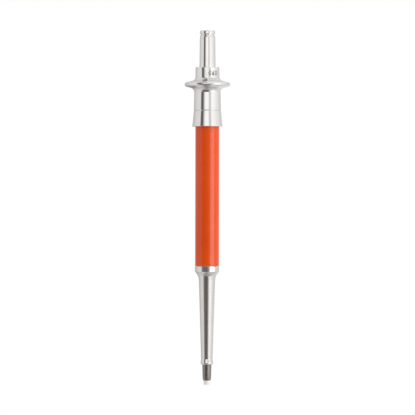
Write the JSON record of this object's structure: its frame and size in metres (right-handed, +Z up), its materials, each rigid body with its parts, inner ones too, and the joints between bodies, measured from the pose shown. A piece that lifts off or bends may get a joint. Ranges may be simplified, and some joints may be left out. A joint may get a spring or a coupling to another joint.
{
  "type": "hand pipette",
  "caption": "Metal fixed-volume hand pipette: thumb plunger through a finger flange, enamelled handle, tapered steel nose with tip holder; working piston, seal, springs and stops.",
  "frame": {"origin": "on the pipette's axis, at the height where the underside of the finger flange rests in a stand", "axes": "+Z up along the axis to the thumb cap; the part is round, so X and Y are free"},
  "size_m": [0.0276, 0.0276, 0.216],
  "materials": {
    "chrome": "polished",
    "turned_steel": "polished",
    "spring_steel": "satin",
    "brass": "satin",
    "orange_enamel": "gloss",
    "dark_metal": "satin",
    "white_polymer": "satin",
    "rubber": "matte"
  },
  "bodies": {
    "barrel": {"flange_hub": "chrome", "skirt_ring": "chrome", "hub_bushing": "white_polymer", "handle_sleeve": "orange_enamel", "inner_tube": "turned_steel", "calibration_nut": "brass", "calibration_lock_nut": "brass", "upper_snap_ring": "spring_steel", "lower_snap_ring": "spring_steel", "spring_seat": "brass", "nose_cone": "turned_steel", "nose_gasket": "rubber", "tip_holder": "dark_metal", "piston_seal": "white_polymer", "seal_ring": "rubber", "seal_washer": "brass", "seal_spring": "spring_steel", "return_spring": "spring_steel", "eject_spring": "spring_steel"},
    "plunger": {"thumb_cap": "chrome", "plunger_sleeve": "chrome", "plunger_rod": "turned_steel", "cap_pin": "spring_steel", "stop_collar": "brass", "collar_pin": "spring_steel", "piston_holder": "brass", "piston_pin": "spring_steel", "piston": "chrome"},
    "blowout_stop": {"blowout_cup": "brass"},
    "eject_stop": {"eject_washer": "brass", "blowout_spring": "spring_steel"}
  },
  "joints": [
    {"name": "plunger_slide", "type": "slide", "parent": "barrel", "child": "plunger", "axis": [0, 0, -1], "range_m": [0, 0.018], "stiffness_N_per_m": 250, "springref_m": -0.008, "deforming": ["return_spring"]},
    {"name": "blowout_slide", "type": "slide", "parent": "barrel", "child": "blowout_stop", "axis": [0, 0, -1], "range_m": [0, 0.0078], "deforming": ["blowout_spring"]},
    {"name": "eject_slide", "type": "slide", "parent": "barrel", "child": "eject_stop", "axis": [0, 0, -1], "range_m": [0, 0.0048], "deforming": ["eject_spring"]}
  ],
  "couplings": [
    {"joint": "blowout_slide", "follows": "plunger_slide", "ratio": 0.4333},
    {"joint": "eject_slide", "follows": "plunger_slide", "ratio": 0.2666}
  ]
}
